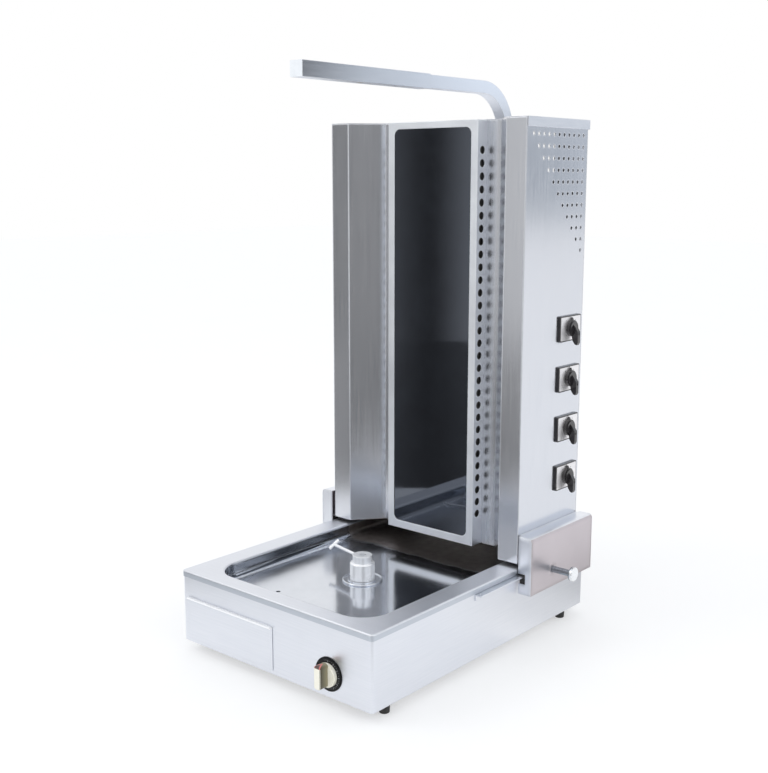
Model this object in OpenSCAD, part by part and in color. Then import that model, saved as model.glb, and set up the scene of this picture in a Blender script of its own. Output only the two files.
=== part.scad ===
// Electric vertical grill with a driven spit spindle, sliding radiant heater,
// recessed drip pan, pull-out grease drawer and bent overhead arm.
// Millimetres, +Z up. The origin is on the floor, under the middle of the
// whole machine's outline. The control knob faces -Y.

/* [Base] */
// width of the base box
base_w = 490; // [440:1:520]
// depth of the base box
base_d = 676.4; // [640:0.1:720]
// height of the base box without its feet
base_h = 141.8; // [134:0.1:160]
// height of the rubber feet
foot_h = 22; // [15:1:35]
// depth of the drip pan below the lid
pan_depth = 32; // [26:1:34]
// width of the flat rim beside the pan
rim_w = 47; // [42:1:60]

/* [Heater] */
// half width of the heater housing
housing_hw = 243; // [236:1:243]
// height of the heater housing
housing_h = 850; // [846:1:860]
// distance from the base's front face to the heater's front
housing_y = 430.7; // [425:0.1:440]
// depth of the heater housing
housing_d = 214; // [205:1:222]
// number of air holes in each side of the glass frame
frame_holes = 30; // [10:1:31]

/* [Spit drive] */
// diameter of the lower part of the spit hub
hub_d = 49; // [40:1:54]
// diameter of the spit socket in the hub
socket_d = 16; // [12:0.5:18]
// reach of the clamping screw from the spindle's axis
handle_reach = 104; // [70:1:110]

/* [Arm] */
// outside width of the bent post tube
tube_w = 25; // [20:1:26]
// height of the arm's middle line above the base's underside
arm_z = 1073.5; // [1050:0.5:1100]

/* [Controls] */
// reach of the control knob from the base's front face
knob_reach = 30; // [24:1:34]
// height between two heater switches
switch_pitch = 100.5; // [90:0.5:104]

/* [Hidden] */
$fn = 64;
sheet = 1.2;
gap = 0.3;
run_fit = 0.05;
cut = 1;
weld = 0.3;

post_gap = 23.6;
rear_reach = base_d + post_gap + tube_w;
y_front = knob_reach - (knob_reach + rear_reach) / 2;
y_back = y_front + base_d;
y_mid = y_front + base_d / 2;
z_base = foot_h;
z_lid = z_base + base_h;
z_floor = z_lid - pan_depth;

lid_slack = 0.2;
lid_skirt = 12;
lid_corner = 8;
lid_edge = 3;
shell_corner = lid_corner - sheet - lid_slack;
shell_h = base_h - lid_edge - lid_slack;
shell_flange = 25;
pan_t = 1.5;
pan_front = 38;
pan_back = 44;
pan_w = base_w - 2 * rim_w;
pan_d = base_d - pan_front - pan_back;
pan_y = y_front + pan_front + pan_d / 2;
pan_corner = 55;
pan_fillet = 15;
roll_r = 6;
drain_x = -80;
drain_y = y_front + 97;
drain_r = 4;
drain_drop = 10;

foot_r = 10.5;
foot_inset = 20;
foot_edge = 54.4;
foot_screw_r = 4;
foot_screw_deep = 12;
nut_r = 7.5;
nut_h = 6.5;
foot_x = base_w / 2 - foot_inset;
foot_rows = [y_front + foot_edge, y_back - foot_edge];
plate_inset = 4;
plate_screw_r = 2.3;
plate_screw_inset = 14;
plate_screw_rows = [0.27, 0.5, 0.73];

slot_w = 8;
slot_pitch = 22;
rear_slots = 7;
rear_slot_x = -180;
rear_slot_z = z_base + 70;
rear_slot_h = 44;
belly_slots = 8;
belly_slot_x = 40;
belly_slot_l = 100;

spindle_y = y_front + 250;
hub_lower_h = 34;
hub_upper_h = 15;
hub_upper_d = 39;
hub_edge = 2;
shaft_r = 10;
socket_deep = 34;
screw_r = 3;
screw_drop = 7;
screw_turn = 166.7;
bar_r = 3.3;
bar_l = 26;
bar_tilt = 58;
collar_r = hub_d / 2 + 4.5;
collar_t = 3;
ring_r = hub_d / 2 + 13.5;
ring_bead = 2;
hub_lift = 0.4;
hub_z = z_floor + collar_t + hub_lift;
hub_top = hub_z + hub_lower_h + hub_upper_h;
shaft_bottom = z_floor - 40;
bearing_flange = 78;
bearing_flange_t = 8;
bearing_r = 21;
bearing_h = 36;
motor_shaft_r = 6;
motor_shaft_deep = 25;
shaft_lap = 20;
gearbox_top = z_base + 62;
gearbox_low = z_base + 20;
gearbox_hw = 50;
gearbox_hd = 45;
gearbox_bolt = [38, 36];
gearbox_bolt_r = 2.6;
motor_r = 30;
motor_l = 82;
motor_z = 21;
motor_neck = 8;
motor_cap = 16;
bracket_plate = 2;
bracket_leg = 6;
bracket_foot = 14;
shaft_window = 14;

drawer_w = 233;
drawer_side = 17;
drawer_x0 = drawer_side - base_w / 2;
drawer_x1 = drawer_x0 + drawer_w;
drawer_z0 = z_base + 8;
drawer_z1 = z_base + 91;
drawer_l = 186;
drawer_lap = 5;
drawer_face = y_front - gap - sheet;
lip_reach = 5;
lip_drop = 3;
box_inset = 9;
box_low = drawer_z0 + 7;
box_high = drawer_z1 - 22;
guide_start = 70;
guide_over = 10;
guide_flange = 14;
guide_lip = 14;
guide_stop = 2;

dial_x = base_w / 2 - 100;
dial_z = z_base + 43;
dial_r = 31;
dial_t = 2.4;
dial_step = 0.8;
dial_neck = 8;
skirt_r = 21.5;
skirt_t = 8;
skirt_edge = 2;
grip_w = 15;
grip_up = 24;
grip_down = 19;
grip_corner = 5;
control_bore = 4;
control_half = 22;
control_d = 38;
knob_shaft = 24;
tab_w = 6;
tab_t = 1;
tab_l = 10;
tab_x = 12;

gland_x = base_w / 2 - 95;
gland_z = z_base + 40;
gland_bore = 4.5;
gland_thread = 8;
gland_hex = 12;
gland_hex_t = 6;
gland_cap = 10.5;
gland_cap_t = 10;
gland_nose = 9;
gland_nose_t = 3;
gland_inside = 14;
gland_nut = 11.5;
gland_nut_t = 4.8;

heater_z = z_base + 149.3;
heater_top = heater_z + housing_h;
heater_y = y_front + housing_y;
heater_back = heater_y + housing_d;
wing_w = 46;
facet_w = 51;
facet_d = 59.7;
panel_y = heater_y + facet_d;
cap_lip = 17;
cap_over = 5;
cap_slack = 0.2;
hole_r = 3.2;
hole_cols = 11;
hole_pitch = 17.46;
hole_row = 22.1;
hole_y = heater_y + 23.4;
hole_z = heater_top - 29.4;
frame_hw = 112.3;
frame_d = 30.4;
frame_y = panel_y - frame_d;
frame_low = 0.4;
glass_hw = 96.3;
glass_z0 = heater_z + 17;
glass_z1 = heater_top - 13.4;
glass_r = 13;
glass_t = 4;
glass_lap = [8, 6];
air_hole_r = 7.6;
air_hole_y = frame_y + 15;
air_hole_z = heater_z + 66.7;
air_pitch = 25.05;
cut_hw = 104;
zones = 4;
zone_h = (glass_z1 - glass_z0) / zones;
zone_gap = 3;
tray_hw = cut_hw - 2;
tray_front = frame_y + sheet + glass_t + gap;
tray_back = panel_y + 20;
tray_wall = 10;
ear_reach = 14;
coil_r = 3.5;
coil_y = tray_back - tray_wall - coil_r;
coil_bend = 24;
coil_run = 65;
floor_slots = 19;
floor_slot_w = 5;
floor_slot_l = 60;
floor_slot_pitch = 10;
floor_slot_y = heater_back - 80;
vent_cols = 5;
vent_w = 55;
vent_pitch = 70;
vent_h = 88;
vent_top = heater_top - 17;
louvre_cols = 11;
louvre_rows = 4;
louvre_w = 24;
louvre_h = 7;
louvre_pitch = [36, 24];
louvre_z = heater_z + 60;
cover_flange = 14;
cover_screw_r = 2;
cover_head = [4, 2.2];
cover_screw_edge = [20, 40];
cover_screws_high = 4;

switch_y = heater_y + 163.3;
switch_z = z_base + 295.5;
bezel_w = 76;
bezel_h = 51;
bezel_t = 4.5;
bezel_corner = 3;
plate_t = 0.8;
plate_edge = 2.5;
switch_neck = 11;
switch_half = 22;
switch_deep = 58;
handle_r = 16.5;
handle_lift = plate_t + gap;
handle_base = 6;
handle_step = 2.5;
handle_bore = 4;
handle_shaft = 28;
pointer_w = 5;
pointer_nose = 5;
pointer_t = 4;
grip_t = 9;
grip_hole_r = 2;
grip_hole_z = -11;
grip_hole_deep = 5;
grip_edge = 20;
grip_side = [[6, 10], [9, 9], [14, 3], [19, -5], [grip_edge, -9], [grip_edge, -28], [17.5, -32.5],
             [13, -31], [8, -24], [6, -15]];

rail_w = 15;
rail_x0 = base_w / 2;
rail_x1 = rail_x0 + rail_w;
rail_y0 = y_front + 289;
rail_y1 = y_back - 4;
rail_z = z_base + 129;
rail_t = 2.5;
rail_leg = 12;
rail_hole_r = 2;
rail_hole_inset = 8;
bracket_gap = 5;
bracket_x0 = housing_hw + bracket_gap;
bracket_x1 = max(rail_x1 + 17.5, bracket_x0 + 29.5);
bracket_y0 = heater_y - 3.7;
bracket_y1 = heater_y + 221.3;
bracket_z0 = rail_z - 37;
bracket_z1 = rail_z + 78;
bracket_t = 1.5;
bracket_r = 8;
bracket_clear = 4;
web_low = rail_z + 23;
web_inset = 8;
glide_l = 30;
glide_inset = 6;
glide_low = 17;
glide_high = 9;
glide_lug = 17;
lug_x = base_w / 2 + lid_slack + sheet + 2 * gap;
clamp_y = heater_y + 74.3;
clamp_z = rail_z - rail_t / 2;
clamp_r = 6.5;
clamp_reach = bracket_x1 + 50.5;
clamp_head_r = 14;
clamp_head_t = 8;
clamp_boss = 10.5;

sleeve_wall = 1.5;
sleeve_w = tube_w + 2 * sleeve_wall;
tube_wall = 2;
arm_front = spindle_y - 164;
sleeve_end = spindle_y + 187;
sleeve_overlap = 70;
end_plate_t = 2;
end_corner = 1.5;
bend_r = 83 + tube_w / 2;
post_y = y_back + post_gap + tube_w / 2;
arm_height = z_base + arm_z;
post_low = z_base + 8;
bolt_r = 4;
bolt_z = [z_base + 40, z_base + 100];
bolt_head_t = 5.3;
bush_r = 10;
bush_bore = 6.5;
bush_deep = 20;
bush_hole = 7.5;
mount_hw = 45;
mount_t = 3;
mount_top = z_base + 126;

// box between two opposite corners
module block(a, b) {
  translate(a) cube([b[0] - a[0], b[1] - a[1], b[2] - a[2]]);
}

// flat rectangle with round corners, centred
module round_rect(w, d, r) {
  square([w - 2 * r, d], center = true);
  square([w, d - 2 * r], center = true);
  for (sx = [-1, 1], sy = [-1, 1])
    translate([sx * (w / 2 - r), sy * (d / 2 - r)]) circle(r);
}

// cylinder whose axis runs along X
module rod_x(r, x0, x1) {
  translate([x0, 0, 0]) rotate([0, 90, 0]) cylinder(r = r, h = x1 - x0);
}

// cylinder whose axis runs along Y
module rod_y(r, y0, y1) {
  translate([0, y0, 0]) rotate([-90, 0, 0]) cylinder(r = r, h = y1 - y0);
}

// box with round upright corners of radius r and a rounded bottom edge of radius f
module basin(w, d, r, f, h) {
  translate([0, 0, f]) linear_extrude(h - f) round_rect(w, d, r);
  linear_extrude(h) round_rect(w - 2 * f, d - 2 * f, r - f);
  for (sx = [-1, 1], sy = [-1, 1])
    translate([sx * (w / 2 - r), sy * (d / 2 - r), 0]) rotate_extrude() {
      square([r - f, 2 * f]);
      intersection() {
        translate([r - f, f]) circle(f);
        translate([0, 0]) square([r, 2 * f]);
      }
    }
  for (s = [-1, 1]) {
    translate([s * (w / 2 - f), 0, f]) rod_y(f, r - d / 2, d / 2 - r);
    translate([0, s * (d / 2 - f), f]) rod_x(f, r - w / 2, w / 2 - r);
  }
}

// quarter of a bent sheet's section, used to roll an edge over
module quarter_bend(r, t) {
  intersection() {
    difference() {
      circle(r);
      circle(r - t);
    }
    square([r, r]);
  }
}

// rolled edge around the pan opening
module rolled_rim() {
  hw = pan_w / 2;
  hd = pan_d / 2;
  for (sx = [-1, 1], sy = [-1, 1])
    translate([sx * (hw - pan_corner), sy * (hd - pan_corner), z_lid - roll_r])
      mirror([sx < 0 ? 1 : 0, 0, 0]) mirror([0, sy < 0 ? 1 : 0, 0])
        rotate_extrude(angle = 90)
          translate([pan_corner + roll_r, 0]) mirror([1, 0]) quarter_bend(roll_r, pan_t);
  for (s = [0, 1]) {
    mirror([s, 0, 0]) translate([hw + roll_r, hd - pan_corner, z_lid - roll_r])
      rotate([90, 0, 0]) linear_extrude(2 * (hd - pan_corner))
        mirror([1, 0]) quarter_bend(roll_r, pan_t);
    mirror([0, s, 0]) translate([pan_corner - hw, hd + roll_r, z_lid - roll_r])
      rotate([90, 0, 90]) linear_extrude(2 * (hw - pan_corner))
        mirror([1, 0]) quarter_bend(roll_r, pan_t);
  }
}

// a slot with square ends through the rear wall, n counted from the left
module rear_slot(n)
  translate([rear_slot_x + slot_pitch * n, 0, rear_slot_z])
    block([-slot_w / 2, y_back - 2 * sheet, -rear_slot_h / 2],
          [slot_w / 2, y_back + cut, rear_slot_h / 2]);

module foot_holes()
  for (sx = [-1, 1], v = foot_rows) translate([sx * foot_x, v, z_base - cut])
    cylinder(r = foot_screw_r + gap, h = 3 * sheet + 2 * cut);

module base_shell() color([0.80, 0.81, 0.84]) difference() {
  translate([0, y_mid, z_base]) linear_extrude(shell_h) round_rect(base_w, base_d, shell_corner);
  translate([0, y_mid, z_base + sheet])
    linear_extrude(shell_h) round_rect(base_w - 2 * sheet, base_d - 2 * sheet, shell_corner - sheet);
  translate([0, y_mid, z_base - cut])
    linear_extrude(shell_h) round_rect(base_w - 2 * shell_flange, base_d - 2 * shell_flange, shell_corner);
  block([drawer_x0 + drawer_lap, y_front - cut, drawer_z0 + drawer_lap],
        [drawer_x1 - drawer_lap, y_front + 2 * sheet, drawer_z1 - drawer_lap]);
  foot_holes();
  translate([dial_x, 0, dial_z]) rod_y(dial_neck, y_front - cut, y_front + 2 * sheet);
  translate([gland_x, 0, gland_z]) rod_y(gland_thread + gap, y_back - 2 * sheet, y_back + cut);
  for (n = [0 : rear_slots - 1]) rear_slot(n);
}

module top_pan() color([0.84, 0.85, 0.87]) {
  lid_w = base_w + 2 * (lid_slack + sheet);
  lid_d = base_d + 2 * (lid_slack + sheet);
  bowl_h = pan_depth + pan_t - roll_r + weld;
  translate([0, pan_y, 0]) rolled_rim();
  difference() {
    translate([0, y_mid, z_lid]) mirror([0, 0, 1]) basin(lid_w, lid_d, lid_corner, lid_edge, lid_skirt);
    translate([0, y_mid, z_lid - sheet]) mirror([0, 0, 1])
      basin(lid_w - 2 * sheet, lid_d - 2 * sheet, lid_corner - sheet, lid_edge - sheet, lid_skirt);
    translate([0, pan_y, z_lid - 2 * sheet]) linear_extrude(4 * sheet)
      round_rect(pan_w + 2 * (roll_r - weld), pan_d + 2 * (roll_r - weld), pan_corner + roll_r - weld);
  }
  difference() {
    translate([0, pan_y, z_floor - pan_t])
      basin(pan_w + 2 * pan_t, pan_d + 2 * pan_t, pan_corner + pan_t, pan_fillet + pan_t, bowl_h);
    translate([0, pan_y, z_floor]) basin(pan_w, pan_d, pan_corner, pan_fillet, pan_depth);
    translate([0, spindle_y, z_floor - 2 * pan_t]) cylinder(r = shaft_r + 2, h = 4 * pan_t);
    translate([drain_x, drain_y, z_floor - 2 * pan_t]) cylinder(r = drain_r, h = 4 * pan_t);
  }
  translate([drain_x, drain_y, z_floor - pan_t - drain_drop]) difference() {
    cylinder(r = drain_r + pan_t, h = drain_drop + weld);
    translate([0, 0, -cut]) cylinder(r = drain_r, h = drain_drop + 2 * cut);
  }
}

module bottom_plate() color([0.62, 0.63, 0.65]) difference() {
  hw = base_w / 2 - plate_inset;
  block([-hw, y_front + plate_inset, z_base + sheet], [hw, y_back - plate_inset, z_base + 2 * sheet]);
  for (n = [0 : belly_slots - 1])
    translate([belly_slot_x + slot_pitch * n, spindle_y, z_base])
      block([-slot_w / 2, -belly_slot_l / 2, 0], [slot_w / 2, belly_slot_l / 2, 3 * sheet]);
  foot_holes();
  for (p = plate_screw_spots()) translate([p[0], p[1], z_base]) cylinder(r = plate_screw_r, h = 3 * sheet);
}

function plate_screw_spots() = [
  for (sx = [-1, 1], v = plate_screw_rows) [sx * (base_w / 2 - plate_screw_inset), y_front + v * base_d]
];

module bottom_screws() color([0.70, 0.71, 0.73])
  for (p = plate_screw_spots()) translate([p[0], p[1], z_base + sheet]) {
    translate([0, 0, sheet]) cylinder(r = plate_screw_r + 1.7, h = 2 * sheet);
    cylinder(r = plate_screw_r, h = 2 * sheet);
  }

module rubber_feet() color([0.05, 0.05, 0.05])
  for (sx = [-1, 1], v = foot_rows) translate([sx * foot_x, v, 0]) difference() {
    rotate_extrude() {
      edge = 1.5;
      translate([0, edge]) square([foot_r - 1, edge]);
      square([foot_r - 1 - edge, 2 * edge]);
      translate([foot_r - 1 - edge, edge]) circle(edge);
      polygon([[0, edge], [foot_r - 1, edge], [foot_r, foot_h - 3], [foot_r, foot_h], [0, foot_h]]);
    }
    translate([0, 0, foot_h - foot_screw_deep]) cylinder(r = foot_screw_r, h = foot_screw_deep + cut);
  }

module foot_screws() color([0.70, 0.71, 0.73])
  for (sx = [-1, 1], v = foot_rows) translate([sx * foot_x, v, foot_h]) {
    translate([0, 0, -foot_screw_deep]) cylinder(r = foot_screw_r, h = foot_screw_deep + 2 * sheet);
    translate([0, 0, 2 * sheet]) cylinder(r = nut_r, h = nut_h, $fn = 6);
  }

// overlay front with a turned-out lip and the tray behind it
module grease_drawer() color([0.80, 0.81, 0.84]) {
  x0 = drawer_x0 + box_inset;
  x1 = drawer_x1 - box_inset;
  lip_y = drawer_face - lip_reach;
  block([drawer_x0, drawer_face, drawer_z0], [drawer_x1, drawer_face + sheet, drawer_z1]);
  block([drawer_x0, lip_y, drawer_z1 - sheet], [drawer_x1, drawer_face + weld, drawer_z1]);
  block([drawer_x0, lip_y, drawer_z1 - lip_drop], [drawer_x1, lip_y + sheet, drawer_z1 - sheet + weld]);
  difference() {
    block([x0, drawer_face + sheet - weld, box_low], [x1, drawer_face + drawer_l, box_high]);
    block([x0 + sheet, drawer_face + 2 * sheet, box_low + sheet],
          [x1 - sheet, drawer_face + drawer_l - sheet, drawer_z1]);
  }
}

module drawer_guides() color([0.70, 0.71, 0.73]) {
  low = z_base + 2 * sheet;
  top = box_low - gap;
  y0 = y_front + guide_start;
  y1 = drawer_face + drawer_l + guide_over;
  for (s = [0, 1]) translate([(drawer_x0 + drawer_x1) / 2, 0, 0]) mirror([s, 0, 0]) {
    web = drawer_w / 2 - box_inset + sheet;
    block([web, y0, low], [web + sheet, y1, top + guide_lip]);
    block([web - guide_flange, y0, low], [web + sheet, y1, low + sheet]);
    block([web - guide_flange, y0, top - sheet], [web + sheet, y1, top]);
    block([web - guide_flange, y1 - guide_stop, low], [web + sheet, y1, top + guide_lip]);
  }
}

// splash collar: bushing plate and a raised bead round the hub
module spindle_collar() color([0.82, 0.83, 0.86])
  translate([0, spindle_y, z_floor]) rotate_extrude() {
    bore = shaft_r + 2;
    translate([bore, 0]) square([ring_r - bore, collar_t / 2]);
    translate([bore, 0]) square([collar_r - bore, collar_t]);
    intersection() {
      translate([ring_r, collar_t / 2]) circle(ring_bead);
      square([ring_r + ring_bead, collar_t + ring_bead]);
    }
  }

module bearing_housing() color([0.55, 0.57, 0.60])
  translate([0, spindle_y, z_floor]) difference() {
    union() {
      translate([0, 0, -pan_t - bearing_flange_t])
        linear_extrude(bearing_flange_t) round_rect(bearing_flange, bearing_flange, 10);
      translate([0, 0, -bearing_h]) cylinder(r = bearing_r, h = bearing_h - pan_t - cut);
    }
    translate([0, 0, -bearing_h - cut]) cylinder(r = shaft_r + run_fit, h = bearing_h + 2 * cut);
  }

// stepped profile of the hub above its shaft
module hub_profile() {
  square([hub_d / 2, hub_lower_h - hub_edge]);
  polygon([[0, 0], [hub_d / 2, hub_lower_h - hub_edge], [hub_d / 2 - hub_edge, hub_lower_h],
           [0, hub_lower_h]]);
  square([hub_upper_d / 2, hub_lower_h + hub_upper_h - 1]);
  square([hub_upper_d / 2 - 1, hub_lower_h + hub_upper_h]);
}

module spindle_hub() color([0.83, 0.84, 0.87])
  translate([0, spindle_y, 0]) difference() {
    union() {
      translate([0, 0, shaft_bottom]) cylinder(r = shaft_r, h = hub_z - shaft_bottom + cut);
      translate([0, 0, hub_z]) rotate_extrude() hub_profile();
    }
    translate([0, 0, hub_top - socket_deep]) cylinder(d = socket_d, h = socket_deep + cut);
    translate([0, 0, shaft_bottom - cut]) cylinder(r = motor_shaft_r, h = shaft_lap + cut);
    clamp_place() rod_x(screw_r + run_fit, 0, hub_d);
  }

// the clamping screw's own line, pointing out of the hub
module clamp_place() translate([0, 0, hub_top - screw_drop]) rotate([0, 0, screw_turn]) children();

module clamp_screw() color([0.78, 0.79, 0.82])
  translate([0, spindle_y, 0]) clamp_place() {
    rod_x(screw_r, socket_d / 2 + gap, handle_reach - bar_r);
    translate([handle_reach - bar_r, 0, 0]) rotate([bar_tilt, 0, 0])
      translate([0, 0, -bar_l / 2]) cylinder(r = bar_r, h = bar_l);
  }

module motor_shaft() color([0.60, 0.61, 0.63])
  translate([0, spindle_y, gearbox_top - motor_shaft_deep])
    cylinder(r = motor_shaft_r, h = shaft_bottom + shaft_lap - gearbox_top + motor_shaft_deep);

// the four fixing holes between gearbox and bracket
module gearbox_bolts(z0, z1)
  for (sx = [-1, 1], sy = [-1, 1])
    translate([sx * gearbox_bolt[0], sy * gearbox_bolt[1], z0]) cylinder(r = gearbox_bolt_r, h = z1 - z0);

module gear_motor() color([0.35, 0.36, 0.38])
  translate([0, spindle_y, 0]) {
    end = gearbox_hw + motor_l;
    difference() {
      block([-gearbox_hw, -gearbox_hd, gearbox_low], [gearbox_hw, gearbox_hd, gearbox_top]);
      translate([0, 0, gearbox_top - motor_shaft_deep - gap])
        cylinder(r = motor_shaft_r + run_fit, h = motor_shaft_deep + gap + cut);
      gearbox_bolts(gearbox_low - cut, gearbox_top + cut);
    }
    translate([0, 0, gearbox_low + motor_z]) {
      rod_x(motor_r - 6, gearbox_hw - cut, gearbox_hw + motor_neck);
      rod_x(motor_r, gearbox_hw + motor_neck - cut, end - motor_cap + cut);
      rod_x(motor_r - 4, end - motor_cap, end);
    }
  }

module motor_bracket() color([0.70, 0.71, 0.73])
  translate([0, spindle_y, 0]) {
    leg_y = gearbox_hd + bracket_leg;
    low = z_base + 2 * sheet;
    high = gearbox_top + bracket_plate;
    hw = gearbox_hw + 2 * bracket_plate;
    x1 = gearbox_hw - 2 * bracket_plate;
    difference() {
      block([-hw, -leg_y, gearbox_top], [x1, leg_y, high]);
      translate([0, 0, gearbox_top - cut]) cylinder(r = shaft_window, h = bracket_plate + 2 * cut);
      gearbox_bolts(gearbox_top - cut, high + cut);
    }
    for (s = [0, 1]) mirror([0, s, 0]) {
      block([-hw, leg_y - bracket_plate, low], [x1, leg_y, high]);
      block([-hw, leg_y - bracket_foot, low], [x1, leg_y, low + bracket_plate]);
    }
  }

module control_dial() color([0.06, 0.06, 0.07])
  translate([dial_x, y_front, dial_z]) difference() {
    rotate([90, 0, 0]) rotate_extrude() {
      square([dial_r, dial_t - dial_step]);
      square([dial_r - 1, dial_t]);
    }
    rod_y(dial_neck, -2 * dial_t, cut);
  }

module control_unit() color([0.82, 0.80, 0.74])
  translate([dial_x, y_front, dial_z]) {
    difference() {
      union() {
        block([-control_half, sheet, -control_half], [control_half, control_d, control_half]);
        rod_y(dial_neck - gap, 0, sheet + cut);
      }
      rod_y(control_bore + run_fit, -cut, knob_shaft + 2);
    }
    for (i = [-1, 1])
      translate([i * tab_x, control_d, -tab_w])
        block([-tab_w / 2, -weld, 0], [tab_w / 2, tab_l, tab_t]);
  }

module control_knob() color([0.90, 0.86, 0.74])
  translate([dial_x, y_front, dial_z]) {
    skirt_y = dial_t + gap;
    skirt_front = skirt_y + skirt_t;
    grip_z = (grip_up - grip_down) / 2;
    grip_l = grip_up + grip_down;
    rod_y(control_bore, -skirt_y - cut, knob_shaft);
    rotate([90, 0, 0]) rotate_extrude() {
      translate([0, skirt_y]) square([skirt_r, skirt_t - skirt_edge]);
      translate([0, skirt_y]) square([skirt_r - skirt_edge, skirt_t]);
    }
    translate([0, -skirt_front + cut, grip_z]) rotate([90, 0, 0])
      linear_extrude(knob_reach - skirt_front) round_rect(grip_w, grip_l, grip_corner);
    translate([0, cut - knob_reach, grip_z]) rotate([90, 0, 0])
      linear_extrude(cut) round_rect(grip_w - 2, grip_l - 2, grip_corner - 1);
  }

// slide rail on one side of the base: an angle with its ledge outward
module rail(s) color([0.80, 0.81, 0.84])
  mirror([s < 0 ? 1 : 0, 0, 0]) difference() {
    union() {
      block([rail_x0, rail_y0, rail_z - rail_leg], [rail_x0 + rail_t, rail_y1, rail_z]);
      block([rail_x0, rail_y0, rail_z - rail_t], [rail_x1, rail_y1, rail_z]);
    }
    translate([(rail_x0 + rail_x1) / 2, rail_y0 + rail_hole_inset, rail_z - rail_t - cut])
      cylinder(r = rail_hole_r, h = rail_t + 2 * cut);
  }

module rail_left() rail(-1);
module rail_right() rail(1);

module square_tube(w, wall) difference() {
  square([w, w], center = true);
  square([w - 2 * wall, w - 2 * wall], center = true);
}

// the two cross holes for the post's fixing bolts
module bolt_holes()
  for (z = bolt_z) translate([0, post_y, z]) rod_x(bolt_r + run_fit, -tube_w, tube_w);

module arm_post() color([0.80, 0.81, 0.84]) {
  bend_z = arm_height - bend_r;
  bend_y = post_y - bend_r;
  front = sleeve_end - sleeve_overlap;
  difference() {
    translate([0, post_y, post_low]) linear_extrude(bend_z - post_low) square_tube(tube_w, tube_wall);
    bolt_holes();
  }
  translate([0, bend_y, bend_z]) rotate([90, 0, 90]) rotate_extrude(angle = 90)
    translate([bend_r, 0]) square_tube(tube_w, tube_wall);
  translate([0, bend_y, arm_height]) rotate([90, 0, 0])
    linear_extrude(bend_y - front) square_tube(tube_w, tube_wall);
}

module arm_sleeve() color([0.80, 0.81, 0.84]) difference() {
  translate([0, sleeve_end, arm_height]) rotate([90, 0, 0])
    linear_extrude(sleeve_end - arm_front) square_tube(sleeve_w, sleeve_wall);
  translate([0, spindle_y, arm_height - sleeve_w]) cylinder(r = bush_hole, h = sleeve_w);
}

module arm_end_plate() color([0.86, 0.87, 0.89])
  translate([0, arm_front, arm_height]) rotate([90, 0, 0])
    linear_extrude(end_plate_t) round_rect(sleeve_w, sleeve_w, end_corner);

// bush that centres the spit's upper end
module spit_bush() color([0.72, 0.60, 0.32])
  translate([0, spindle_y, arm_height - tube_w / 2]) difference() {
    cylinder(r = bush_r, h = tube_w);
    translate([0, 0, -cut]) cylinder(r = bush_bore, h = bush_deep + cut);
  }

module post_mount() color([0.72, 0.73, 0.76]) {
  ear = tube_w / 2;
  pad = y_back + post_gap;
  difference() {
    union() {
      block([-mount_hw, y_back, post_low], [mount_hw, y_back + mount_t, mount_top]);
      for (s = [0, 1]) mirror([s, 0, 0])
        block([ear, y_back + mount_t - weld, post_low], [ear + mount_t, pad + tube_w - mount_t, mount_top]);
      block([-ear - weld, pad - mount_t, post_low], [ear + weld, pad, mount_top]);
    }
    bolt_holes();
  }
}

module post_bolts() color([0.66, 0.67, 0.69]) {
  side = tube_w / 2 + mount_t;
  for (z = bolt_z) translate([0, post_y, z]) {
    rod_x(bolt_r, -side - nut_h, side + cut);
    translate([side, 0, 0]) rotate([0, 90, 0]) cylinder(r = nut_r, h = bolt_head_t, $fn = 6);
    translate([-side - nut_h, 0, 0]) rotate([0, 90, 0]) cylinder(r = nut_r, h = nut_h, $fn = 6);
  }
}

module cable_gland() color([0.08, 0.08, 0.08])
  translate([gland_x, y_back, gland_z]) difference() {
    cap = gland_hex_t + gland_cap_t;
    union() {
      rod_y(gland_thread, -gland_inside, cut);
      rod_y(gland_hex, 0, gland_hex_t);
      rod_y(gland_cap, gland_hex_t - weld, cap);
      rod_y(gland_nose, cap - weld, cap + gland_nose_t);
      rod_y(gland_nut, -sheet - gland_nut_t, -sheet);
    }
    rod_y(gland_bore, -gland_inside - cut, cap + gland_nose_t + cut);
  }

// outside plan of the heater: back edge, side, front wing, slanted facet, recessed panel
function shell_right(t) = [
  [housing_hw - t, heater_back],
  [housing_hw - t, heater_y + t],
  [housing_hw - wing_w + t / 2, heater_y + t],
  [housing_hw - wing_w - facet_w + t / 2, panel_y + t]
];
function mirrored(pts) = [for (i = [len(pts) - 1 : -1 : 0]) [-pts[i][0], pts[i][1]]];
function shell_plan(t) = concat(shell_right(t), mirrored(shell_right(t)));

// triangle of air holes high in both side walls
module side_holes()
  for (row = [0 : hole_cols - 1], col = [row : hole_cols - 1], s = [-1, 1])
    translate([s * housing_hw, hole_y + hole_pitch * col, hole_z - hole_row * row])
      rod_x(hole_r, -2 * sheet, 2 * sheet);

// height of switch n, counted from the bottom
function switch_height(n) = switch_z + switch_pitch * (n - 1);

module heater_shell() color([0.82, 0.83, 0.86]) difference() {
  lap = 2;
  translate([0, 0, heater_z]) linear_extrude(housing_h) difference() {
    polygon(shell_plan(0));
    polygon(shell_plan(sheet));
    translate([-housing_hw, heater_back - weld]) square([2 * housing_hw, 2 * cut]);
  }
  block([-cut_hw, panel_y - 2 * sheet, glass_z0 + lap], [cut_hw, panel_y + 3 * sheet, glass_z1 - lap]);
  side_holes();
  for (n = [1 : zones]) translate([housing_hw, switch_y, switch_height(n)])
    rod_x(switch_neck + gap, -2 * sheet, 2 * sheet);
}

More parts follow.
